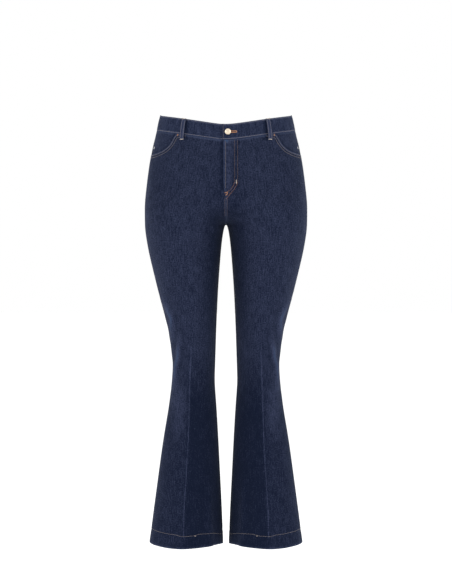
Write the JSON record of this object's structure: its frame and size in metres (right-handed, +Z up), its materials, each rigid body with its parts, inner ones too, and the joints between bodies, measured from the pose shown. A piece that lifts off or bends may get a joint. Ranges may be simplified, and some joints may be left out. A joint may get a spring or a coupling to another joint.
{
  "type": "flared jeans",
  "caption": "Women's flared jeans in dark blue stretch denim, hollow as worn: five-pocket cut, waistband with belt loops, button and zip fly, snug to the knee and wide at the hem.",
  "frame": {"origin": "middle of the waist, level with the middle of the waistband at the side seams, where the wearer holds the jeans up", "axes": "+Z up through the waist, -Y the front, +X the wearer's left"},
  "size_m": [0.4126, 0.3032, 1.0861],
  "materials": {
    "denim": "dark indigo stretch twill",
    "zip_cloth": "woven tape",
    "brass": "polished pale brass",
    "rivet": "bright nickel"
  },
  "bodies": {
    "root": {"waistband": "denim", "front_left": "denim", "back_left": "denim", "yoke_left": "denim", "pocket_inset_left": "denim", "back_pocket_left": "denim", "belt_loop_front_left": "denim", "belt_loop_back_left": "denim", "front_right": "denim", "back_right": "denim", "yoke_right": "denim", "pocket_inset_right": "denim", "back_pocket_right": "denim", "belt_loop_front_right": "denim", "belt_loop_back_right": "denim", "belt_loop_centre_back": "denim", "fly_shield": "denim", "zip_tape": "zip_cloth", "zip_slider": "brass", "waist_button": "brass", "pocket_rivet_left": "rivet", "pocket_rivet_right": "rivet"}
  },
  "joints": []
}
